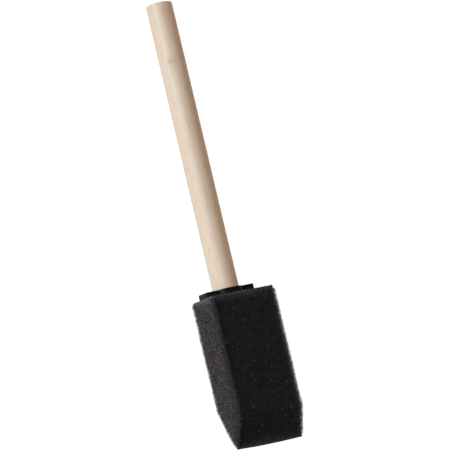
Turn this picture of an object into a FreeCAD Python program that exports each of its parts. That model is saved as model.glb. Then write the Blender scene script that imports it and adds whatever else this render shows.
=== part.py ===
"""Foam sponge brush: a birch dowel, a black moulded insert and a chisel-cut foam head.

The brush lies on the broad back face of its foam. X runs along the handle, from the foam's
tip towards the handle's free end. Y is across the brush and Z is up, out of the foam's broad
front face. The origin is on the handle's axis, in the outer face of the insert's flange.
"""

import FreeCAD, Part
import os

# Driving dimensions, in millimetres.

# handle: a 3/8 inch dowel
HANDLE_RADIUS = 9.525 / 2
HANDLE_LENGTH = 104.3  # from the flange to the free end
HANDLE_END_ROUND = 0.6
TENON_DEPTH = 15.5  # how far the dowel goes down the socket
TENON_END_RADIUS = 4.5  # the end is turned to a slight taper, to start in the socket
TENON_CHAMFER = 0.8

# insert: one moulding of flange, socket and fin
FLANGE_THICKNESS = 2.3
FLANGE_WIDTH = 19.8
FLANGE_DEPTH = 6.0
FLANGE_CORNER = 0.6
FLANGE_EDGE_ROUND = 0.3
BOSS_RADIUS = 5.5
SOCKET_MOUTH_RADIUS = 5.5
SOCKET_FOOT_RADIUS = 5.2
SOCKET_FLOOR = 1.3
FIN_WIDTH = 15.6
FIN_THICKNESS = 1.6
FIN_CORNER = 3.0
FIN_SHORT_OF_TIP = 14.5  # foam left ahead of the fin
FIN_NOSE_LENGTH = 4.0  # the fin thins to its nose over this length
FIN_NOSE_THICKNESS = 0.7

# adhesive films
HANDLE_GLUE = 0.15
HANDLE_GLUE_TOP_GAP = 1.0  # the glue stops this far below the flange's outer face
HANDLE_GLUE_FOOT_GAP = 1.5  # and this far above the dowel's end
FOAM_GLUE = 0.3
FOAM_GLUE_MARGIN = 1.2  # bare fin left round each film

# foam head: 1 inch wide
FOAM_WIDTH = 25.4
FOAM_THICKNESS = 13.5
FOAM_LENGTH = 52.8
FOAM_OFFSET_Y = -2.3  # the foam is glued on a little to one side of the handle
FRONT_BEVEL_LENGTH = 9.8
BACK_BEVEL_LENGTH = 14.3

# Places along X.
FOAM_TOP_X = -FLANGE_THICKNESS
TIP_X = FOAM_TOP_X - FOAM_LENGTH
SOCKET_BOTTOM_X = -TENON_DEPTH
SOCKET_FOOT_X = SOCKET_BOTTOM_X - SOCKET_FLOOR
FIN_END_X = TIP_X + FIN_SHORT_OF_TIP

X_AXIS = FreeCAD.Vector(1, 0, 0)
Y_AXIS = FreeCAD.Vector(0, 1, 0)


def point(x, y, z=0.0):
    """A point in the brush's frame."""
    return FreeCAD.Vector(x, y, z)


def box(x_low, x_high, width, thickness):
    """A box from x_low to x_high, centred on the handle's axis."""
    corner = point(x_low, -width / 2, -thickness / 2)
    return Part.makeBox(x_high - x_low, width, thickness, corner)


def cone(x_start, radius_start, x_end, radius_end):
    """A cone on the handle's axis, from x_start towards larger x."""
    return Part.makeCone(radius_start, radius_end, x_end - x_start, point(x_start, 0), X_AXIS)


def tenon_radius(x):
    """The radius of the dowel's tapered end at x, where x runs from 0 down to -TENON_DEPTH."""
    return HANDLE_RADIUS + (HANDLE_RADIUS - TENON_END_RADIUS) * x / TENON_DEPTH


def prism_along_y(corners, y_low, y_high):
    """A prism whose section is a list of (x, z) corners, from y_low to y_high."""
    path = [point(x, y_low, z) for x, z in corners]
    face = Part.Face(Part.makePolygon(path + path[:1]))
    return face.extrude(Y_AXIS * (y_high - y_low))


def edges_where(shape, wanted):
    """The edges of shape whose midpoint passes the test wanted(x, y, z)."""
    found = []
    for edge in shape.Edges:
        middle = edge.valueAt((edge.FirstParameter + edge.LastParameter) / 2)
        if wanted(middle.x, middle.y, middle.z):
            found.append(edge)
    return found


def is_near(value, target):
    """Whether two lengths are the same, to a thousandth of a millimetre."""
    return abs(value - target) < 0.001


def make_handle():
    """The dowel: a plain cylinder with an eased free end and a tapered end in the socket."""
    shaft = Part.makeCylinder(HANDLE_RADIUS, HANDLE_LENGTH, point(0, 0), X_AXIS)
    rim = edges_where(shaft, lambda x, y, z: is_near(x, HANDLE_LENGTH))
    shaft = shaft.makeFillet(HANDLE_END_ROUND, rim)
    chamfer_x = -TENON_DEPTH + TENON_CHAMFER
    foot = cone(-TENON_DEPTH, TENON_END_RADIUS - TENON_CHAMFER / 2, chamfer_x, tenon_radius(chamfer_x))
    taper = cone(chamfer_x, tenon_radius(chamfer_x), 0, HANDLE_RADIUS)
    return shaft.fuse([taper, foot])


def make_flange():
    """The flat plate on top of the foam, with its round boss."""
    plate = box(FOAM_TOP_X, 0, FLANGE_WIDTH, FLANGE_DEPTH)
    uprights = edges_where(plate, lambda x, y, z: is_near(x, FOAM_TOP_X / 2))
    plate = plate.makeFillet(FLANGE_CORNER, uprights)
    boss = Part.makeCylinder(BOSS_RADIUS, FLANGE_THICKNESS, point(FOAM_TOP_X, 0), X_AXIS)
    flange = plate.fuse(boss)
    return flange.makeFillet(FLANGE_EDGE_ROUND, edges_where(flange, lambda x, y, z: is_near(x, 0)))


def make_fin():
    """The flat fin, with round corners and a nose that thins towards the foam's tip."""
    nose_x = FIN_END_X + FIN_NOSE_LENGTH
    half = FIN_THICKNESS / 2
    nose_half = FIN_NOSE_THICKNESS / 2
    section = [
        (FOAM_TOP_X, half),
        (nose_x, half),
        (FIN_END_X, nose_half),
        (FIN_END_X, -nose_half),
        (nose_x, -half),
        (FOAM_TOP_X, -half),
    ]
    slab = prism_along_y(section, -FIN_WIDTH / 2, FIN_WIDTH / 2)
    outline = box(FIN_END_X, FOAM_TOP_X, FIN_WIDTH, FIN_THICKNESS)
    corners = edges_where(
        outline,
        lambda x, y, z: is_near(x, FIN_END_X) and is_near(abs(y), FIN_WIDTH / 2) and is_near(z, 0),
    )
    return slab.common(outline.makeFillet(FIN_CORNER, corners))


def make_socket_outside():
    """The outside of the socket that holds the dowel, closed at its foot."""
    return cone(SOCKET_FOOT_X, SOCKET_FOOT_RADIUS, FOAM_TOP_X, SOCKET_MOUTH_RADIUS)


def make_insert_outside():
    """The insert with its socket still filled in."""
    return make_flange().fuse([make_socket_outside(), make_fin()]).removeSplitter()


def make_handle_glue():
    """The glue round the dowel's tapered end."""
    low = -TENON_DEPTH + HANDLE_GLUE_FOOT_GAP
    high = -HANDLE_GLUE_TOP_GAP
    outside = cone(low, tenon_radius(low) + HANDLE_GLUE, high, tenon_radius(high) + HANDLE_GLUE)
    inside = cone(low, tenon_radius(low), high, tenon_radius(high))
    return outside.cut(inside)


def make_insert(outside):
    """The insert: its bore leaves room for the glue below a short collar that grips the dowel."""
    low = -TENON_DEPTH
    high = -HANDLE_GLUE_TOP_GAP
    glued = cone(low, tenon_radius(low) + HANDLE_GLUE, high, tenon_radius(high) + HANDLE_GLUE)
    collar = cone(high, tenon_radius(high), 0, HANDLE_RADIUS)
    return outside.cut(glued).cut(collar)


def make_foam_glue(side):
    """The film of glue on one broad face of the fin; side is 1 for the front, -1 for the back."""
    low = FIN_END_X + FIN_NOSE_LENGTH + FOAM_GLUE_MARGIN
    high = SOCKET_FOOT_X - FOAM_GLUE_MARGIN
    width = FIN_WIDTH - 2 * FOAM_GLUE_MARGIN
    film = box(low, high, width, FOAM_GLUE)
    film.translate(point(0, 0, side * (FIN_THICKNESS + FOAM_GLUE) / 2))
    return film


def make_foam(filled_with):
    """The foam head: a chisel-cut block with a pocket that fits what is inside it."""
    half = FOAM_THICKNESS / 2
    section = [
        (FOAM_TOP_X, half),
        (TIP_X + FRONT_BEVEL_LENGTH, half),
        (TIP_X, 0),
        (TIP_X + BACK_BEVEL_LENGTH, -half),
        (FOAM_TOP_X, -half),
    ]
    block = prism_along_y(section, FOAM_OFFSET_Y - FOAM_WIDTH / 2, FOAM_OFFSET_Y + FOAM_WIDTH / 2)
    return block.cut(filled_with)


def make_parts():
    """Every piece of the brush, by name."""
    insert_outside = make_insert_outside()
    glue_front = make_foam_glue(1)
    glue_back = make_foam_glue(-1)
    return {
        "handle_dowel": make_handle(),
        "plastic_insert": make_insert(insert_outside),
        "handle_adhesive": make_handle_glue(),
        "foam_adhesive_front": glue_front,
        "foam_adhesive_back": glue_back,
        "foam_head": make_foam([insert_outside, glue_front, glue_back]),
    }


os.makedirs("parts", exist_ok=True)
for name, shape in make_parts().items():
    if not shape.isValid() or len(shape.Solids) != 1:
        raise ValueError(f"{name} is not one valid solid")
    shape.Solids[0].exportStep(f"parts/{name}.step")
    low, high = shape.BoundBox.getPoint(0), shape.BoundBox.getPoint(6)
    print(f"{name}: {shape.Volume:.1f} mm3, x {low.x:.2f} to {high.x:.2f}")
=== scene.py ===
"""Looks of the foam sponge brush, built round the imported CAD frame.

Lengths are in metres, unless a name ends in _MM or _mm or a docstring says millimetres. X runs
along the handle, from the foam's tip to the handle's free end. Z is up, out of the foam's broad
front face, and the brush lies on its broad back face. Left is +Y and right is -Y.
"""

import math

import bmesh
import bpy
import numpy as np
from mathutils import Matrix, Vector


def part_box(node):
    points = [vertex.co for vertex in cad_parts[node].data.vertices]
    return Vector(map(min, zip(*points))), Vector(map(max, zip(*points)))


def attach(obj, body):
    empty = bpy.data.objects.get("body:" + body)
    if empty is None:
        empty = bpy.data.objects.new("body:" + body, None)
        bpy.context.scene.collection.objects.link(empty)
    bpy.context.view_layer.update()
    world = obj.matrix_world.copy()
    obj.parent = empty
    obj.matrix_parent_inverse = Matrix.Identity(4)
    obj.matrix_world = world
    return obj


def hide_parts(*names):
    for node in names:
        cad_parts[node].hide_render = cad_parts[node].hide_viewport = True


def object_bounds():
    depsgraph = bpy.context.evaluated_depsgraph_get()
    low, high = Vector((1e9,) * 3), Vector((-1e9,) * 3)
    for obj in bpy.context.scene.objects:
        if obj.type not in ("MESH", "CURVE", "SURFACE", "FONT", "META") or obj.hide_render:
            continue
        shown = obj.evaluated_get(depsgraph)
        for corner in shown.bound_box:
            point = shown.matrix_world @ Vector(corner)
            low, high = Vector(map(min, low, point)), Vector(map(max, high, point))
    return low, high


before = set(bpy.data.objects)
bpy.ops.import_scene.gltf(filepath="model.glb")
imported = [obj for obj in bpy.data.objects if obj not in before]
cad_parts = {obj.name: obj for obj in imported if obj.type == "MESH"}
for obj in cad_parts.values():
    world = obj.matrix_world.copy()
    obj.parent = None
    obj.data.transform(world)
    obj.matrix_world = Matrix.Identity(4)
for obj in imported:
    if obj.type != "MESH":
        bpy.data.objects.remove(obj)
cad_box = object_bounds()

MM = 0.001
SEED = 20
BRUSH_MIDDLE = (Vector(cad_box[0]) + Vector(cad_box[1])) / 2
FLOOR_Z_MM = cad_box[0][2] / MM

# ---------------------------------------------------------------- camera
VIEW_AZIMUTH = 193.36  # degrees; 0 looks along +Y
VIEW_ELEVATION = 57.92
VIEW_ROLL = 65.33
VIEW_DISTANCE = 1.0026
VIEW_LENS = 227.9  # millimetres, on a 36 mm sensor
VIEW_SENSOR = 36.0
VIEW_FARTHEST = 50.0
VIEW_AIM_OFFSET = Vector((-1.98, -3.47, 0.0)) * MM  # from the middle of the brush

# ---------------------------------------------------------------- studio
FLOOR_HALF_WIDTH_MM = 6000.0
FLOOR_GREY = (0.29, 0.31)
FLOOR_GLOW = 0.97
KEY_OFFSET = Vector((0.22, 1.2, 0.57))  # from the middle of the brush
KEY_SIZE = (1.0, 0.9)
KEY_POWER = 20.2
KEY_COLOUR = (0.845, 1.02, 1.22)
WALL_COLOUR = (0.335, 0.242, 0.15, 1)
HORIZON_COLOUR = (1, 1, 1, 1)
HORIZON_BAND = (-0.16, -0.04, 0.08, 0.22)  # sines of the heights where it fades in and out

# ---------------------------------------------------------------- foam block, in millimetres
FRONT_BEVEL_MM = 9.8  # length along X
BACK_BEVEL_MM = 14.3
FOAM_GRID_MM = 0.225  # the remesh's voxels
HIDDEN_DEPTH_MM = 0.6 * FOAM_GRID_MM  # points deeper than this line the pocket round the insert
POCKET_THINNING = 0.9  # share of the pocket's faces to take out
TIP_FLARE_MM = 1.75  # the tip's right side leans out this far
TIP_FLARE_POWER = 1.4
TIP_REACH_MM = 0.9  # how far the tip bulges past the block, in its middle
TIP_ROUND_MM = 0.28  # and how much less at its two ends
TIP_REACH_POWER = 8
CREASE_SKEW_MM = 0.5  # the front bevel's crease is this much nearer the handle at its left end
CREASE_WIDTH_MM = 6.0
CUT_WANDER_MM = ((1, 0.16), (2, 0.10))  # (axis, how far the cut faces wander along it)
CUT_WANDER_SIZE_MM = 9.0
FACE_SWELL_MM = 0.35  # how far the middles of the faces stand out past their long edges
FACE_SWELL_WIDTH_MM = 2.2
FACE_SWELL_TIP_MM = (0.5, 6.0)  # the swelling fades out towards the tip
FACE_SWELL_TOP_MM = (0.0, 3.0)  # and towards the top end
CORE_RECESS_MM = 0.3  # how far the skin draws in behind the loose struts of the long edges
CORE_RECESS_WIDTH_MM = 1.1
LONG_EDGE_TIP_MM = (0.3, 2.5)  # the loose struts thin out towards the tip
LONG_EDGE_TOP_MM = (0.0, 1.2)  # and towards the top end
TOP_LIP_MM = (0.1, 0.62)  # how far the top end's outer edge stands up, at left and right

# ---------------------------------------------------------------- foam surface, in millimetres
CELL_MM = 0.56
CELL_RELIEF_MM = 0.2
CELL_RIDGE_WIDTH = 0.55  # in cells
CELL_LEVEL = 0.55  # relief that stays on the outline
PIT_SPACING = 2.6  # of the larger pits, in cells
PIT_RADIUS = 0.9  # in cells
RELIEF_BASE, RELIEF_RIDGE, RELIEF_PIT = 0.15, 0.85, 0.5
RIM_WIDTH_MM = 1.25  # the paler rim along the foam's edges: painted light, as if shining through the thin foam there
RIDGE_RIM_WIDTH_MM = 0.42  # at the edge between the front and the left narrow side
RIM_POWER = 1.3
NARROW_BLEND_MM = (0.0, 1.0)  # the narrow sides' paleness, partly their cut and partly painted light, fades out round the front's edges
DULL_SIDE, DULL_END = 0.45, 0.25  # the right side and the top end get less of the paleness, and so less painted light, than the lit left side
BEVEL_SHADE_BLEND_MM = (-0.3, 0.3)  # how sharply the front bevel's painted shade starts at its crease

# ---------------------------------------------------------------- foam struts, in millimetres
NAP_COUNT = 46000  # STL files hold at most 200,000 faces, four to a strut
NAP_LENGTH_MM = 0.36
NAP_LENGTH_LIMITS_MM = (0.15, 2.6 * NAP_LENGTH_MM)
NAP_LENGTH_SHAPE = 3.0  # of the gamma distribution of lengths
NAP_LEAN = 0.55  # how far the struts stray from standing straight out of the skin
EDGE_STRUT_COUNT = 48000
EDGE_STRUT_LENGTH_MM = (0.25, 0.6)
EDGE_STRUT_DEPTH_MM = (-0.85, 0.4)  # their roots' depth inside the outline; negative is outside
EDGE_STRUT_RISE = 0.5  # they spread less up and down than sideways
STRUT_RADIUS_MM = (0.03, 0.07)
STRUT_SUNK_MM = 0.1  # how far a strut starts below its root
STRUT_SHADE_POWER = 3.5  # most struts are dark and a few are light
GLINT_SHARE = 0.004  # of the struts' ends, painted near white as glints
GLINT_STRENGTH = (0.1, 1.0)
GLINT_LENGTH_MM = 0.3
GLINT_RADIUS_MM = 0.11

# ---------------------------------------------------------------- handle, in millimetres
DOWEL_SEGMENTS = 96
END_NEAR_MM = 0.01  # points this near to an end are on it
SMALLEST_RADIUS_MM = 0.5  # nothing is divided by less, near the axis
DOWEL_RING_MM = 0.7
DOWEL_EASE_MM = 0.4  # radius of the free end's eased edge
DOWEL_EASE_RINGS = 6
DOWEL_EASE_GAP_MM = 0.3  # the last plain ring is at least this far from the eased edge
DOWEL_END_RINGS = (0.93, 0.8, 0.65, 0.5, 0.35, 0.2, 0.1)  # shares of the end face's radius
TENON_TAPER_MM = 0.2625  # how much thinner the dowel gets down the socket
TENON_TAPER_RINGS = 12
TENON_TAPER_START_MM = 1.5
TENON_CHAMFER_MM = 0.4  # across; it is twice as long
TENON_FOOT_RINGS = (0.35, 0.7)
ROUND_SCALE, ROUND_MM = [0.06, 0.35, 0.35], 0.03  # the dowel's round is slightly uneven
GRAIN_SCALE, GRAIN_MM = [0.12, 2.2, 2.2], 0.008
SAWN_SCALE, SAWN_MM = [1, 1.4, 1.4], 0.05  # and so is its sawn end
SANDED_MM = 0.02  # taken off all round, so that the bumps hardly pass the CAD's round
BARE_MM = (0.0, 2.0)  # the unevenness starts along this stretch, by the flange
END_GRAIN = 0.8  # how strongly the sawn colour shows on the ends
WOOD_MARKS = (  # (x, degrees round the dowel from +Y, size along, size round, strength)
    (82.7, 48.0, 0.95, 1.0, 0.7),  # a small knot
    (82.5, 62.0, 0.7, 1.1, 0.2),  # the tan round it
    (80.5, 49.0, 3.2, 1.2, 0.2),  # and along the grain from it
    (102.7, 22.0, 1.1, 0.4, 0.4),  # a nick by the free end
    (100.4, 71.0, 3.4, 1.2, 0.32),  # a faint tan patch
    (1.2, 61.0, 0.8, 0.5, 0.25),  # and one by the flange
)

# ---------------------------------------------------------------- insert, in millimetres
FLANGE_HALF_DEPTH_MM = 3.0
FLANGE_LEAN = 0.026  # the flange's outer face rises this much for each unit to the right
FLANGE_RISE_MM = 0.08
FLANGE_LEANING = 0.4  # the outer share of the flange's thickness that leans in full
BOSS_FLAT_MM = 5.3  # the boss's front and back stand this far from the handle's axis
BOSS_HALF_WIDTH_MM = 4.9  # where they meet the plate
BOSS_FLAT_POWER = 4
BOSS_INNER_RADIUS_MM = 5.1  # points of the boss's round lie outside this
BOSS_FOOT_SLACK_MM = 0.05  # and no farther below the flange than this
BOSS_SIDE_SLACK_MM = 0.02  # and at least this far outside the plate
SHARP_ANGLE = 32  # degrees
WELD_DISTANCE = 1e-6

# ---------------------------------------------------------------- colours: linear RGB and alpha
SKIN_BROAD = (0.0010, 0.0012, 0.0014, 1), (0.0240, 0.0262, 0.0282, 1)  # pores, darkened as painted shade; struts
# the narrow sides: paler, partly by their cut and partly by painted light on the lit left side
SKIN_NARROW = (0.0004, 0.0003, 0.0003, 1), (0.0775, 0.0618, 0.0562, 1)
# painted light: the paler rim along the foam's edges, for pores and struts
SKIN_RIM_LIGHT_PORES = (0.020, 0.0180, 0.0175, 1)
SKIN_RIM_LIGHT_STRUTS = (0.115, 0.110, 0.108, 1), (0.245, 0.210, 0.200, 1)  # broad and narrow sides
SHEEN_TINT = (0.95, 0.92, 0.90, 1)
NAP_BROAD = (0.0023, 0.0025, 0.0028, 1), (0.140, 0.1455, 0.1460, 1)  # darkest, lightest strut
# the narrow sides' struts: paler, partly by their cut and partly by painted light on the lit left
# side
NAP_NARROW = (0.0040, 0.0034, 0.0033, 1), (0.393, 0.3290, 0.3010, 1)
NAP_RIM_LIGHT = (0.112, 0.108, 0.106, 1), (0.205, 0.176, 0.167, 1)  # painted rim light: broad and narrow sides
# painted highlight: the colour of the glinting struts
GLINT = (0.62, 0.59, 0.57, 1)
BIRCH_PALE, BIRCH_WARM = (0.60, 0.488, 0.350, 1), (0.58, 0.412, 0.262, 1)
BIRCH_STREAK = (0.53, 0.372, 0.242, 1)
BIRCH_FLECK = (0.415, 0.265, 0.148, 1)
BIRCH_STAIN = (0.47, 0.235, 0.085, 1)
BIRCH_RINGS = (0.50, 0.385, 0.265, 1), (0.40, 0.285, 0.18, 1)  # light and dark growth rings
PLASTIC = (0.003, 0.0045, 0.0045, 1), (0.006, 0.009, 0.0085, 1)
GLUE = (0.80, 0.72, 0.52, 1), (0.62, 0.50, 0.30, 1)

# The sockets of a colour Mix node, whose names aren't unique.
MIX_AMOUNT, MIX_A, MIX_B, MIX_RESULT = 0, 6, 7, 2


# ================================================================ node helpers


class Nodes:
    """A material's node tree, with short calls to add and join its nodes.

    Values are numbers, colours or other nodes' outputs. Scales are in cells to the metre.
    """

    def __init__(self, name):
        self.material = bpy.data.materials.new(name)
        self.material.use_nodes = True
        self.tree = self.material.node_tree
        self.bsdf = self.tree.nodes["Principled BSDF"]
        self.place = self.add("ShaderNodeTexCoord").outputs["Object"]

    def add(self, kind, inputs=(), **settings):
        """A new node, with its inputs by socket and its settings by name."""
        node = self.tree.nodes.new(kind)
        for key, value in settings.items():
            setattr(node, key, value)
        for key, value in dict(inputs).items():
            self.put(node.inputs[key], value)
        return node

    def put(self, socket, value):
        """Join a socket to another node's output, or set its own value."""
        if isinstance(value, bpy.types.NodeSocket):
            self.tree.links.new(value, socket)
        else:
            socket.default_value = value

    def set(self, **values):
        """Give the shader's sockets their values; an underscore stands for a space."""
        for key, value in values.items():
            self.put(self.bsdf.inputs[key.replace("_", " ")], value)

    def noise(self, scale, detail=2.0, rough=0.5, stretch=(1, 1, 1)):
        """Noise; stretch multiplies the scale along each axis."""
        inputs = {"Vector": self.place, "Scale": stretch}
        where = self.add("ShaderNodeMapping", inputs).outputs[0]
        inputs = {"Vector": where, "Scale": scale, "Detail": detail, "Roughness": rough}
        return self.add("ShaderNodeTexNoise", inputs).outputs["Fac"]

    def cell_walls(self, scale):
        """The distance to the nearest wall between random cells."""
        inputs = {"Vector": self.place, "Scale": scale}
        node = self.add("ShaderNodeTexVoronoi", inputs, feature="DISTANCE_TO_EDGE")
        return node.outputs["Distance"]

    def rings(self, scale, shift):
        """Growth rings round an axis along X; shift moves the places before they are used."""
        inputs = {"Vector": self.place, "Location": shift}
        where = self.add("ShaderNodeMapping", inputs).outputs[0]
        inputs = {"Vector": where, "Scale": scale, "Distortion": 2.0, "Detail": 2.0}
        node = self.add("ShaderNodeTexWave", inputs, wave_type="RINGS", rings_direction="X")
        return node.outputs["Fac"]

    def ramp(self, value, low, high, to_low=0.0, to_high=1.0):
        """Value, stretched from low..high to to_low..to_high and kept inside them."""
        inputs = {0: value, 1: low, 2: high, 3: to_low, 4: to_high}
        return self.add("ShaderNodeMapRange", inputs).outputs[0]

    def math(self, operation, a, b):
        return self.add("ShaderNodeMath", {0: a, 1: b}, operation=operation).outputs[0]

    def mix(self, amount, a, b, blend="MIX"):
        """From colour a to colour b by amount."""
        inputs = {MIX_AMOUNT: amount, MIX_A: a, MIX_B: b}
        node = self.add("ShaderNodeMix", data_type="RGBA", blend_type=blend)
        for key, value in inputs.items():
            self.put(node.inputs[key], value)
        return node.outputs[MIX_RESULT]

    def grey(self, value):
        inputs = {"Red": value, "Green": value, "Blue": value}
        return self.add("ShaderNodeCombineColor", inputs).outputs[0]

    def attribute(self, name):
        """A number that the mesh has for each vertex."""
        return self.add("ShaderNodeAttribute", attribute_name=name).outputs["Fac"]

    def bump(self, height, distance, strength, normal=None):
        inputs = {"Height": height, "Distance": distance, "Strength": strength}
        if normal is not None:
            inputs["Normal"] = normal
        return self.add("ShaderNodeBump", inputs).outputs[0]


# ================================================================ materials


def foam_grain(n):
    """The foam's grain, from 0 in a pore to 1 on a lit strut, the same for skin and nap."""
    return n.ramp(n.noise(2000.0, detail=1.0), 0.38, 0.62)


def painted_bevel_shade(n):
    """The front bevel is a little darker than the rest: painted shade."""
    return n.ramp(n.attribute("bevel_shade"), 0.0, 1.0, 1.0, 0.86)


def foam_material():
    """Charcoal open-cell foam: dark pores with painted shade, lighter struts, paler narrow sides,
    partly by their cut and partly by painted light, a paler rim of painted light along the edges,
    and painted shade on the front bevel.
    """
    n = Nodes("charcoal_foam")
    # painted shade in the pores: darker in each cell's middle and in the pits of the relief,
    # lighter on the cell walls and ridges
    strut = n.ramp(n.cell_walls(1900.0), 0.0, 0.22, 1.0, 0.0)
    tone = n.math("MULTIPLY", foam_grain(n), 0.6)
    tone = n.math("ADD", tone, n.math("MULTIPLY", strut, 0.2))
    tone = n.math("ADD", tone, n.math("MULTIPLY", n.attribute("relief"), 0.2))
    # the narrow sides are paler, partly by their cut and partly by painted light on the lit left
    # side
    colour = n.mix(n.attribute("narrow_pale_and_lit"), n.mix(tone, *SKIN_BROAD), n.mix(tone, *SKIN_NARROW))
    # painted light: the skin is paler along the foam's edges, by rim
    rim = n.mix(tone, SKIN_RIM_LIGHT_PORES, n.mix(n.attribute("narrow_pale_and_lit"), *SKIN_RIM_LIGHT_STRUTS))
    colour = n.mix(n.math("MULTIPLY", n.attribute("rim"), 0.8), colour, rim)
    shade = n.ramp(n.noise(130.0, detail=3.0), 0.3, 0.7, 0.95, 1.05)
    # painted shade on the front bevel
    shade = n.math("MULTIPLY", shade, painted_bevel_shade(n))
    colour = n.mix(1.0, colour, n.grey(shade), "MULTIPLY")
    n.set(Base_Color=colour, Roughness=0.95, Normal=n.bump(strut, 0.12 * MM, 0.8))
    n.set(Specular_IOR_Level=0.06)
    n.set(Sheen_Weight=0.03, Sheen_Roughness=0.6, Sheen_Tint=SHEEN_TINT)
    return n.material


def nap_material():
    """The cut ends of the foam's struts: the same charcoal, each its own shade, a few with painted
    glints, paler along the edges with painted light.
    """
    n = Nodes("foam_nap")
    tone = n.math("MULTIPLY", n.attribute("shade"), n.ramp(foam_grain(n), 0.0, 1.0, 0.15, 1.0))
    # painted shade on the front bevel
    tone = n.math("MULTIPLY", tone, painted_bevel_shade(n))
    # the narrow sides' struts are paler, partly by their cut and partly by painted light
    colour = n.mix(n.attribute("narrow_pale_and_lit"), n.mix(tone, *NAP_BROAD), n.mix(tone, *NAP_NARROW))
    # painted light: the struts are paler along the foam's edges, by rim
    rim = n.mix(n.attribute("narrow_pale_and_lit"), *NAP_RIM_LIGHT)
    colour = n.mix(n.math("MULTIPLY", n.attribute("rim"), 0.6), colour, rim)
    # painted highlights: a few struts painted near white as glints
    colour = n.mix(n.attribute("glint"), colour, GLINT)
    n.set(Base_Color=colour, Roughness=0.6, Specular_IOR_Level=0.12)
    return n.material


def birch_material():
    """Sanded, unfinished birch: cream, with faint long grain, flecks, stains and sawn ends."""
    n = Nodes("birch")
    streak = n.noise(1.0, detail=4.0, rough=0.65, stretch=(12, 900, 900))
    broad = n.noise(1.0, detail=3.0, stretch=(9, 150, 150))
    fleck = n.noise(1.0, stretch=(260, 1500, 1500))
    colour = n.mix(n.ramp(broad, 0.32, 0.7), BIRCH_PALE, BIRCH_WARM)
    colour = n.mix(n.ramp(streak, 0.42, 0.72, 0.0, 0.65), colour, BIRCH_STREAK)
    colour = n.mix(n.ramp(fleck, 0.58, 0.72, 0.0, 0.5), colour, BIRCH_FLECK)
    colour = n.mix(n.attribute("stain"), colour, BIRCH_STAIN)
    rings = n.ramp(n.rings(250.0, (0, 3 * MM, -9 * MM)), 0.2, 0.9)
    colour = n.mix(n.attribute("end_grain"), colour, n.mix(rings, *BIRCH_RINGS))
    n.set(Base_Color=colour, Roughness=n.ramp(streak, 0.3, 0.8, 0.68, 0.82))
    n.set(Normal=n.bump(streak, 0.06 * MM, 0.5))
    n.set(Specular_IOR_Level=0.9)
    n.set(Coat_Weight=1.0, Coat_Roughness=0.7, Coat_IOR=1.75)
    n.set(Subsurface_Weight=0.5, Subsurface_Scale=4.5 * MM, Subsurface_Radius=(1.0, 0.35, 0.15))
    return n.material


def plastic_material():
    """Satin black moulded plastic with the faint unevenness of a cheap mould."""
    n = Nodes("black_moulding")
    wave = n.noise(220.0, detail=3.0)
    grain = n.noise(4200.0)
    rough = n.ramp(n.noise(900.0, detail=3.0), 0.3, 0.7, 0.28, 0.4)
    bumped = n.bump(grain, 0.01 * MM, 0.5, n.bump(wave, 0.2 * MM, 0.5))
    n.set(Base_Color=n.mix(wave, *PLASTIC), Roughness=rough, Normal=bumped)
    n.set(Specular_IOR_Level=0.07)
    return n.material


def glue_material():
    """Dried hot-melt glue: cloudy amber."""
    n = Nodes("dried_glue")
    cloud = n.noise(500.0, detail=4.0)
    rough = n.ramp(cloud, 0.3, 0.7, 0.25, 0.45)
    n.set(Base_Color=n.mix(cloud, *GLUE), Roughness=rough, Normal=n.bump(cloud, 0.1 * MM, 0.4))
    return n.material


def floor_material():
    """A white sweep that glows, so that no shadow shows on it."""
    n = Nodes("white_sweep")
    tone = n.ramp(n.noise(3.0), 0.3, 0.7, *FLOOR_GREY)
    n.set(Base_Color=n.grey(tone), Roughness=0.9, Specular_IOR_Level=0.0)
    n.set(Emission_Color=(1, 1, 1, 1), Emission_Strength=FLOOR_GLOW)
    return n.material


# ================================================================ mesh helpers


def mm_array(values):
    """Vectors in metres as an array in millimetres."""
    return np.array([tuple(v) for v in values], float) / MM


def link(name, data):
    """A new object in the scene."""
    thing = bpy.data.objects.new(name, data)
    bpy.context.scene.collection.objects.link(thing)
    return thing


def new_piece(name, points_mm, faces, material, smooth=True):
    """A mesh object from points in millimetres."""
    mesh = bpy.data.meshes.new(name)
    mesh.from_pydata((np.asarray(points_mm) * MM).tolist(), [], faces)
    mesh.update()
    dress(mesh, material, smooth)
    return link(name, mesh)


def dress(mesh, material, smooth=True):
    """Give a mesh its one material and its shading."""
    mesh.polygons.foreach_set("use_smooth", np.full(len(mesh.polygons), smooth))
    mesh.materials.clear()
    mesh.materials.append(material)


def set_attribute(piece, name, values):
    """One number for each vertex, for the material to read."""
    layer = piece.data.attributes.new(name, "FLOAT", "POINT")
    layer.data.foreach_set("value", np.asarray(values, np.float32))


def vertex_arrays(mesh):
    """A mesh's vertex places and normals as arrays."""
    places = np.empty(len(mesh.vertices) * 3)
    mesh.vertices.foreach_get("co", places)
    normals = np.empty(len(mesh.vertices) * 3)
    mesh.vertex_normals.foreach_get("vector", normals)
    return places.reshape(-1, 3), normals.reshape(-1, 3)


def move_vertices(mesh, places):
    mesh.vertices.foreach_set("co", places.ravel())
    mesh.update()


def unit(vectors):
    return vectors / np.linalg.norm(vectors, axis=1)[:, None]


def smooth_step(low, high, values):
    """From 0 at low to 1 at high, with a soft start and end."""
    t = np.clip((values - low) / (high - low), 0, 1)
    return t * t * (3 - 2 * t)


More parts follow.
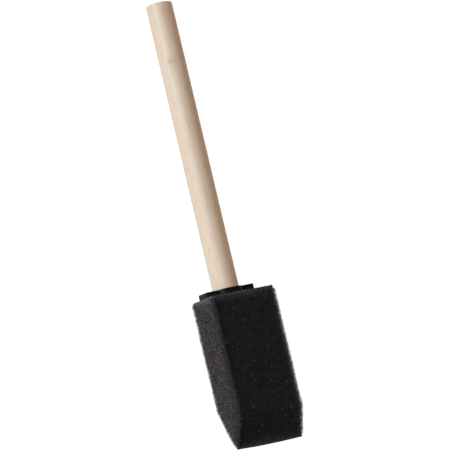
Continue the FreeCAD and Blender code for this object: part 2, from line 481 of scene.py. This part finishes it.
def value_noise(points, size, rng):
    """Smooth random values from -1 to 1, which vary over about size."""
    low = points.min(0) - size
    grid = (points - low) / size
    shape = np.ceil(grid.max(0)).astype(int) + 3
    lattice = rng.uniform(-1, 1, shape)
    base = np.floor(grid).astype(int)
    t = grid - base
    t = t * t * (3 - 2 * t)
    total = np.zeros(len(points))
    for corner in np.ndindex(2, 2, 2):
        weight = np.ones(len(points))
        for axis in range(3):
            weight *= t[:, axis] if corner[axis] else 1 - t[:, axis]
        at = base + np.array(corner)
        total += weight * lattice[at[:, 0], at[:, 1], at[:, 2]]
    return total


def cell_distances(points, size, rng):
    """The distances from each point to its nearest and second nearest random cell centre."""
    low = points.min(0) - 2 * size
    grid = (points - low) / size
    shape = np.ceil(grid.max(0)).astype(int) + 3
    centres = rng.uniform(0, 1, (*shape, 3))
    base = np.floor(grid).astype(int)
    nearest = np.full(len(points), np.inf)
    second = np.full(len(points), np.inf)
    for step in np.ndindex(3, 3, 3):
        cell = base + np.array(step) - 1
        centre = cell + centres[cell[:, 0], cell[:, 1], cell[:, 2]]
        distance = np.linalg.norm(grid - centre, axis=1)
        second = np.minimum(second, np.maximum(nearest, distance))
        nearest = np.minimum(nearest, distance)
    return nearest * size, second * size


# ================================================================ foam head


def foam_planes():
    """The foam block's outer faces as name: (outward unit normal, offset), in millimetres."""
    low, high = mm_array(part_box("foam_head"))
    half = high[2]
    planes = {
        "front": (np.array([0, 0, 1.0]), half),
        "back": (np.array([0, 0, -1.0]), -low[2]),
        "left": (np.array([0, 1.0, 0]), high[1]),
        "right": (np.array([0, -1.0, 0]), -low[1]),
        "top": (np.array([1.0, 0, 0]), high[0]),
    }
    bevels = (("front_bevel", FRONT_BEVEL_MM, 1), ("back_bevel", BACK_BEVEL_MM, -1))
    for name, length, side in bevels:
        normal = np.array([-half, 0, side * length]) / math.hypot(half, length)
        planes[name] = (normal, normal[0] * low[0])
    return planes


def with_modifier(piece, modifier):
    """Replace a piece's mesh by what its one modifier makes of it."""
    bpy.context.view_layer.update()
    depsgraph = bpy.context.evaluated_depsgraph_get()
    mesh = bpy.data.meshes.new_from_object(piece.evaluated_get(depsgraph))
    piece.modifiers.remove(modifier)
    piece.data = mesh


def remeshed_foam():
    """The CAD foam as one even, closed mesh in millimetres, ready to be shaped."""
    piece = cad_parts["foam_head"].copy()
    piece.data = piece.data.copy()
    piece.name = piece.data.name = "foam_head_skin"
    for key in list(piece.keys()):
        del piece[key]
    piece.parent = None
    bpy.context.scene.collection.objects.link(piece)
    piece.data.transform(Matrix.Scale(1 / MM, 4))
    remesh = piece.modifiers.new("remesh", "REMESH")
    remesh.mode = "VOXEL"
    remesh.voxel_size = FOAM_GRID_MM
    with_modifier(piece, remesh)
    return piece


def thin_pocket(piece, is_pocket):
    """Fewer faces in the hidden pocket round the insert."""
    group = piece.vertex_groups.new(name="pocket")
    group.add(np.flatnonzero(is_pocket).tolist(), 1.0, "REPLACE")
    thin = piece.modifiers.new("thin", "DECIMATE")
    thin.vertex_group = group.name
    thin.ratio = 1.0 - POCKET_THINNING * float(is_pocket.mean())
    with_modifier(piece, thin)
    piece.vertex_groups.clear()


def foam_places(points):
    """Where points are on the foam, as name: array. In millimetres: depth, below its surface.
    As shares from 0 to 1: rim, nearness to any edge, where the materials paint a paler rim of
    painted light; long_edge, nearness to one of the four long edges; swell, how far from those;
    narrow_pale_and_lit, how much of the narrow sides' paleness shows, partly their cut and partly
    painted light on the lit left side; facet, how much of the front bevel's painted shade shows."""
    depth = {name: offset - points @ normal for name, (normal, offset) in foam_planes().items()}
    front = np.minimum(depth["front"], depth["front_bevel"])
    back = np.minimum(depth["back"], depth["back_bevel"])
    side = np.minimum(depth["left"], depth["right"])
    is_left = depth["left"] < depth["right"]
    cuts = np.array([front, back, depth["left"], depth["right"], depth["top"]])
    front_cut, left_cut, top_cut = 0, 2, 4
    order = cuts.argsort(axis=0)
    cuts.sort(axis=0)
    by_ridge = np.minimum(order[0], order[1]) == front_cut
    by_ridge &= np.maximum(order[0], order[1]) == left_cut
    width = np.where(by_ridge, RIDGE_RIM_WIDTH_MM, RIM_WIDTH_MM)
    rim = np.exp(-((np.maximum(cuts[1], 0) / width) ** RIM_POWER))
    from_tip = points[:, 0] - points[:, 0].min()
    from_edge = np.hypot(np.minimum(front, back), side)
    long_edge = np.exp(-((from_edge / CORE_RECESS_WIDTH_MM) ** 2))
    long_edge *= smooth_step(*LONG_EDGE_TIP_MM, from_tip)
    long_edge *= smooth_step(*LONG_EDGE_TOP_MM, depth["top"])
    swell = 1 - np.exp(-((from_edge / FACE_SWELL_WIDTH_MM) ** 2))
    swell *= smooth_step(*FACE_SWELL_TIP_MM, from_tip)
    swell *= smooth_step(*FACE_SWELL_TOP_MM, depth["top"])
    narrow_by_front = smooth_step(*NARROW_BLEND_MM, front - side)
    narrow = np.where(front < back, narrow_by_front, side < back)
    narrow *= np.where(is_left, 1.0, DULL_SIDE)
    narrow = np.where(order[0] == top_cut, DULL_END, narrow)
    bevel_shade = smooth_step(*BEVEL_SHADE_BLEND_MM, depth["front"] - depth["front_bevel"]) * (front < back)
    return {
        "depth": cuts[0],
        "rim": rim,
        "long_edge": long_edge,
        "swell": swell,
        "narrow_pale_and_lit": narrow,
        "bevel_shade": bevel_shade,
    }


def shape_foam(points, rng):
    """Bend the plain block into the real one: flared tip, skewed crease, uneven cut faces."""
    low, high = mm_array(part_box("foam_head"))
    moved = points.copy()
    across = (points[:, 1] - low[1]) / (high[1] - low[1])
    to_tip = np.clip(1 - (points[:, 0] - low[0]) / FRONT_BEVEL_MM, 0, 1)
    moved[:, 1] -= TIP_FLARE_MM * to_tip**TIP_FLARE_POWER * (1 - across)
    reach = TIP_REACH_MM - TIP_ROUND_MM * (2 * across - 1) ** 2
    moved[:, 0] -= reach * to_tip**TIP_REACH_POWER
    crease = low[0] + FRONT_BEVEL_MM
    near_crease = np.exp(-(((points[:, 0] - crease) / CREASE_WIDTH_MM) ** 2))
    upper = np.clip(points[:, 2] / high[2], 0, 1)
    moved[:, 0] += CREASE_SKEW_MM * (2 * across - 1) * near_crease * upper
    for axis, amount in CUT_WANDER_MM:
        moved[:, axis] += amount * value_noise(points, CUT_WANDER_SIZE_MM, rng)
    return moved


def foam_relief(points, rng):
    """Open cells: pits at their middles and ridges where they meet. Returns (push, relief)."""
    nearest, second = cell_distances(points, CELL_MM, rng)
    ridge = 1 - smooth_step(0.0, CELL_RIDGE_WIDTH * CELL_MM, second - nearest)
    coarse, _ = cell_distances(points, CELL_MM * PIT_SPACING, rng)
    pit = 1 - smooth_step(0.0, PIT_RADIUS * CELL_MM, coarse)
    relief = np.clip(ridge * RELIEF_RIDGE + RELIEF_BASE - RELIEF_PIT * pit, 0, 1)
    return CELL_RELIEF_MM * (relief - CELL_LEVEL), relief


def skin_shift(points, normals, push, places):
    """How far the skin's points move from the outline: out and in by the relief, in behind the
    loose struts, and up at the top end's outer edge, which doesn't swell over the flange."""
    shift = normals * (push - CORE_RECESS_MM * places["long_edge"])[:, None]
    right, left = points[:, 1].min(), points[:, 1].max()
    lip = np.interp(points[:, 1], [right, left], TOP_LIP_MM[::-1])
    is_top = points[:, 0] > points[:, 0].max() - FOAM_GRID_MM
    shift[:, 0] = np.minimum(shift[:, 0], 0) + lip * places["rim"] ** 2 * is_top
    return shift


def make_foam(skin_look, strut_look):
    """The foam's skin and the two sets of loose struts on it."""
    rng = np.random.default_rng(SEED)
    piece = remeshed_foam()
    points, _ = vertex_arrays(piece.data)
    thin_pocket(piece, foam_places(points)["depth"] > HIDDEN_DEPTH_MM)
    mesh = piece.data
    points, _ = vertex_arrays(mesh)
    places = foam_places(points)
    inside = places["depth"] > HIDDEN_DEPTH_MM
    places["rim"][inside] = 0
    places["long_edge"][inside] = 0
    outline = shape_foam(points, rng)
    push, relief = foam_relief(points, rng)
    push += FACE_SWELL_MM * places["swell"]
    push[inside] = 0
    move_vertices(mesh, outline)
    _, normals = vertex_arrays(mesh)
    skin = outline + skin_shift(points, normals, push, places)
    skin[:, 2] = np.maximum(skin[:, 2], FLOOR_Z_MM)
    move_vertices(mesh, skin * MM)
    dress(mesh, skin_look)
    shown = {"rim": places["rim"], "relief": relief}
    shown["narrow_pale_and_lit"] = places["narrow_pale_and_lit"]
    shown["bevel_shade"] = places["bevel_shade"]
    for name, value in shown.items():
        set_attribute(piece, name, value)
    outer = (~inside).astype(float)
    nap = make_nap(mesh, skin, outer, shown, strut_look, rng)
    near_edges = outer * places["long_edge"]
    edges = make_edge_struts(mesh, outline, normals, near_edges, shown, strut_look, rng)
    return piece, (nap, edges)


def make_nap(mesh, skin, density, shown, look, rng):
    """The cut ends of struts that stand out all over the skin."""
    roots, picked = scatter(mesh, skin, density, NAP_COUNT, rng)
    _, normals = vertex_arrays(mesh)
    leaning = normals[picked] + rng.normal(0, NAP_LEAN, roots.shape)
    length = rng.gamma(NAP_LENGTH_SHAPE, NAP_LENGTH_MM / NAP_LENGTH_SHAPE, NAP_COUNT)
    length = length.clip(*NAP_LENGTH_LIMITS_MM)
    chosen = {name: value[picked] for name, value in shown.items()}
    return make_struts("foam_nap", roots, leaning, length, chosen, look, rng)


def make_edge_struts(mesh, outline, normals, density, shown, look, rng):
    """The loose struts that make the outlines of the four long edges soft."""
    roots, picked = scatter(mesh, outline, density, EDGE_STRUT_COUNT, rng)
    outward = unit(normals[picked] * [1, 1, EDGE_STRUT_RISE])
    roots -= outward * rng.uniform(*EDGE_STRUT_DEPTH_MM, EDGE_STRUT_COUNT)[:, None]
    leaning = rng.normal(0, 1, roots.shape)
    length = rng.uniform(*EDGE_STRUT_LENGTH_MM, EDGE_STRUT_COUNT)
    chosen = {name: value[picked] for name, value in shown.items()}
    return make_struts("foam_edge_struts", roots, leaning, length, chosen, look, rng)


def scatter(mesh, places, density, count, rng):
    """Random points on a mesh of triangles and quads whose vertices are at places, spread by
    density, a number for each vertex. Only the first triangle of each quad gets points, and the
    quads are small. Returns the points and a vertex near each."""
    loops = np.empty(len(mesh.polygons), int)
    mesh.polygons.foreach_get("loop_start", loops)
    corners = np.empty(len(mesh.loops), int)
    mesh.loops.foreach_get("vertex_index", corners)
    first, second, third = corners[loops], corners[loops + 1], corners[loops + 2]
    edge_a, edge_b = places[second] - places[first], places[third] - places[first]
    share = np.linalg.norm(np.cross(edge_a, edge_b), axis=1)
    share *= density[first] * (density[second] > 0) * (density[third] > 0)
    chosen = rng.choice(len(share), count, p=share / share.sum())
    mix = rng.dirichlet((1, 1, 1), count)
    found = (
        places[first[chosen]] * mix[:, :1]
        + places[second[chosen]] * mix[:, 1:2]
        + places[third[chosen]] * mix[:, 2:]
    )
    return found, first[chosen]


def make_struts(name, roots, direction, length, shown, material, rng):
    """Struts of the foam, as thin three-sided spikes that start just below their roots."""
    count = len(roots)
    direction = unit(direction)
    radius = rng.uniform(*STRUT_RADIUS_MM, count)
    shade = rng.random(count) ** STRUT_SHADE_POWER
    glint = (rng.random(count) < GLINT_SHARE) * rng.uniform(*GLINT_STRENGTH, count)
    length = np.where(glint > 0, GLINT_LENGTH_MM, length)
    radius[glint > 0] = GLINT_RADIUS_MM
    off_x = np.abs(direction[:, :1]) < 0.8
    helper = np.where(off_x, [[1.0, 0, 0]], [[0, 1.0, 0]])  # an axis well off the strut's line
    u = unit(np.cross(direction, helper))
    v = np.cross(direction, u)
    start = roots - direction * STRUT_SUNK_MM
    points = np.empty((count, 4, 3))
    for corner in range(3):
        angle = 2 * math.pi * corner / 3
        across = math.cos(angle) * u + math.sin(angle) * v
        points[:, corner] = start + across * radius[:, None]
    points[:, 3] = roots + direction * length[:, None]
    points[:, :, 2] = np.maximum(points[:, :, 2], FLOOR_Z_MM)
    first = np.arange(count)[:, None] * 4
    pattern = np.array([[0, 2, 1], [0, 1, 3], [1, 2, 3], [2, 0, 3]])
    faces = (first[:, None] + pattern[None]).reshape(-1, 3)
    piece = new_piece(name, points.reshape(-1, 3), faces.tolist(), material, smooth=False)
    for key in ("narrow_pale_and_lit", "rim", "bevel_shade"):
        set_attribute(piece, key, np.repeat(shown[key], 4))
    set_attribute(piece, "shade", np.repeat(shade, 4))
    set_attribute(piece, "glint", np.repeat(glint, 4))
    return piece


# ================================================================ handle


def dowel_rings(foot, end, radius):
    """The dowel's outline as (x, radius) rings, from its foot in the socket to its free end."""
    tenon_end = radius - TENON_TAPER_MM
    ease = DOWEL_EASE_MM
    rings = [(foot, share * tenon_end) for share in TENON_FOOT_RINGS]
    rings.append((foot, tenon_end - TENON_CHAMFER_MM))
    rings.append((foot + 2 * TENON_CHAMFER_MM, tenon_end))
    for x in np.linspace(foot + TENON_TAPER_START_MM, 0, TENON_TAPER_RINGS):
        rings.append((x, radius + (radius - tenon_end) * x / -foot))
    for x in np.arange(DOWEL_RING_MM, end - ease - DOWEL_EASE_GAP_MM, DOWEL_RING_MM):
        rings.append((x, radius))
    for turn in np.linspace(0, math.pi / 2, DOWEL_EASE_RINGS):
        x = end - ease + ease * math.sin(turn)
        rings.append((x, radius - ease + ease * math.cos(turn)))
    rings += [(end, (radius - ease) * share) for share in DOWEL_END_RINGS]
    return np.array(rings)


def tube_faces(rings, segments):
    """The faces of a tube of rings of points, closed at both ends."""
    faces = []
    for ring in range(rings - 1):
        for step in range(segments):
            a = ring * segments + step
            b = ring * segments + (step + 1) % segments
            faces.append((a, b, b + segments, a + segments))
    faces.append(tuple(reversed(range(segments))))
    last = (rings - 1) * segments
    faces.append(tuple(range(last, last + segments)))
    return faces


def make_dowel(material):
    """The birch dowel: its round is very slightly uneven, and its end is eased by hand."""
    low, high = mm_array(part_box("handle_dowel"))
    foot, end, radius = low[0], high[0], high[2]
    rng = np.random.default_rng(SEED + 1)
    rings = dowel_rings(foot, end, radius)
    x = np.repeat(rings[:, 0], DOWEL_SEGMENTS)
    r = np.repeat(rings[:, 1], DOWEL_SEGMENTS)
    around = np.tile(np.arange(DOWEL_SEGMENTS) * 2 * math.pi / DOWEL_SEGMENTS, len(rings))
    points = np.stack([x, r * np.cos(around), r * np.sin(around)], 1)
    uneven = value_noise(points * ROUND_SCALE, 1.0, rng) * ROUND_MM
    grain = value_noise(points * GRAIN_SCALE, 1.0, rng) * GRAIN_MM
    change = (uneven + grain - SANDED_MM) * smooth_step(*BARE_MM, x) * (r / radius)
    points[:, 1:] *= (1 + change / np.maximum(r, SMALLEST_RADIUS_MM))[:, None]
    is_end, is_foot = x > end - END_NEAR_MM, x < foot + END_NEAR_MM
    sawn = SAWN_MM * (1 + value_noise(points * SAWN_SCALE, 1.0, rng))
    points[:, 0] -= np.where(is_end, sawn, 0)
    piece = new_piece("handle", points, tube_faces(len(rings), DOWEL_SEGMENTS), material)
    set_attribute(piece, "stain", stain_amount(points, radius))
    set_attribute(piece, "end_grain", (is_end | is_foot) * END_GRAIN)
    return piece


def stain_amount(points, radius):
    """How stained the wood is at each point, from 0 to 1."""
    angle = np.degrees(np.arctan2(points[:, 2], points[:, 1]))
    total = np.zeros(len(points))
    for x, degrees, along, around, strength in WOOD_MARKS:
        arc = np.radians((angle - degrees + 180) % 360 - 180) * radius
        total += strength * np.exp(-(((points[:, 0] - x) / along) ** 2) - (arc / around) ** 2)
    return np.clip(total, 0, 1)


# ================================================================ insert


def make_insert(material):
    """The moulding: its boss has flat sides, and its flange's outer face is a little out of
    square, as moulded."""
    shape = bmesh.new()
    shape.from_mesh(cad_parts["plastic_insert"].data)
    bmesh.ops.remove_doubles(shape, verts=shape.verts, dist=WELD_DISTANCE)
    mesh = bpy.data.meshes.new("insert")
    shape.to_mesh(mesh)
    shape.free()
    if mesh.has_custom_normals:
        mesh.attributes.remove(mesh.attributes["custom_normal"])
    points, _ = vertex_arrays(mesh)
    points /= MM
    flange_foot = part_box("foam_head")[1][0] / MM
    x, y, z = points.T
    radius = np.hypot(y, z)
    on_boss = (x > flange_foot - BOSS_FOOT_SLACK_MM) & (radius > BOSS_INNER_RADIUS_MM)
    on_boss &= np.abs(z) > FLANGE_HALF_DEPTH_MM + BOSS_SIDE_SLACK_MM
    bulge = np.clip(1 - (np.abs(y) / BOSS_HALF_WIDTH_MM) ** BOSS_FLAT_POWER, 0, 1)
    flat = FLANGE_HALF_DEPTH_MM + (BOSS_FLAT_MM - FLANGE_HALF_DEPTH_MM) * bulge
    flat -= radius[on_boss].max() - radius
    points[:, 2] = np.where(on_boss, np.sign(z) * flat, z)
    outer = smooth_step(flange_foot, FLANGE_LEANING * flange_foot, x)
    points[:, 0] += outer * (FLANGE_RISE_MM - FLANGE_LEAN * y)
    move_vertices(mesh, points * MM)
    dress(mesh, material)
    mesh.set_sharp_from_angle(angle=math.radians(SHARP_ANGLE))
    return link("insert", mesh)


# ================================================================ studio


def make_floor(material):
    """A wide plain floor under the brush."""
    half, z = FLOOR_HALF_WIDTH_MM, FLOOR_Z_MM
    corners = [(-half, -half, z), (half, -half, z), (half, half, z), (-half, half, z)]
    floor = new_piece("studio_floor", corners, [(0, 1, 2, 3)], material, smooth=False)
    floor.visible_diffuse = False  # it looks white, but lights the brush no more than the walls do


def aim(thing, place, target, roll=0.0):
    """Put a lamp or camera at place, looking at target."""
    turn = (Vector(target) - Vector(place)).to_track_quat("-Z", "Y").to_matrix().to_4x4()
    rolled = Matrix.Rotation(math.radians(roll), 4, "Z")
    thing.matrix_world = Matrix.Translation(place) @ turn @ rolled


def make_key_light():
    """One large cool softbox, from the brush's left."""
    lamp = bpy.data.lights.new("key_softbox", "AREA")
    lamp.shape = "RECTANGLE"
    lamp.size, lamp.size_y = KEY_SIZE
    lamp.energy = KEY_POWER
    lamp.color = KEY_COLOUR
    aim(link("key_softbox", lamp), BRUSH_MIDDLE + KEY_OFFSET, BRUSH_MIDDLE)


def make_world():
    """Soft, dim and slightly warm studio light, with a white band round the horizon."""
    world = bpy.data.worlds.new("studio")
    bpy.context.scene.world = world
    world.use_nodes = True
    tree = world.node_tree
    background = tree.nodes["Background"]
    place = tree.nodes.new("ShaderNodeTexCoord")
    split = tree.nodes.new("ShaderNodeSeparateXYZ")
    height = tree.nodes.new("ShaderNodeMapRange")
    height.inputs["From Min"].default_value = -1.0
    ramp = tree.nodes.new("ShaderNodeValToRGB")
    stops = ramp.color_ramp.elements
    while len(stops) < len(HORIZON_BAND):
        stops.new(0.5)
    colours = (WALL_COLOUR, HORIZON_COLOUR, HORIZON_COLOUR, WALL_COLOUR)
    for stop, z, colour in zip(stops, HORIZON_BAND, colours):
        stop.position = (z + 1) / 2
        stop.color = colour
    tree.links.new(place.outputs["Generated"], split.inputs[0])
    tree.links.new(split.outputs["Z"], height.inputs[0])
    tree.links.new(height.outputs[0], ramp.inputs[0])
    tree.links.new(ramp.outputs[0], background.inputs["Color"])
    background.inputs["Strength"].default_value = 1.0


def make_camera():
    """The photograph's view."""
    turn, rise = math.radians(VIEW_AZIMUTH), math.radians(VIEW_ELEVATION)
    level = math.cos(rise)
    back = Vector((math.sin(turn) * level, -math.cos(turn) * level, math.sin(rise)))
    lens = bpy.data.cameras.new("camera")
    lens.lens = VIEW_LENS
    lens.sensor_width = VIEW_SENSOR
    lens.clip_end = VIEW_FARTHEST
    camera = link("camera", lens)
    target = BRUSH_MIDDLE + VIEW_AIM_OFFSET
    aim(camera, target + back * VIEW_DISTANCE, target, VIEW_ROLL)
    bpy.context.scene.camera = camera


# ================================================================ the scene

foam, naps = make_foam(foam_material(), nap_material())
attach(foam, "root")
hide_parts("foam_head")
for nap in naps:
    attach(nap, "root")

handle = make_dowel(birch_material())
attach(handle, "root")
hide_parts("handle_dowel")

insert = make_insert(plastic_material())
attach(insert, "root")
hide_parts("plastic_insert")

glue = glue_material()
for node in ("handle_adhesive", "foam_adhesive_front", "foam_adhesive_back"):
    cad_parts[node].data.materials.clear()
    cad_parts[node].data.materials.append(glue)

make_floor(floor_material())
make_world()
make_key_light()
make_camera()
bpy.context.scene.view_settings.view_transform = "Standard"
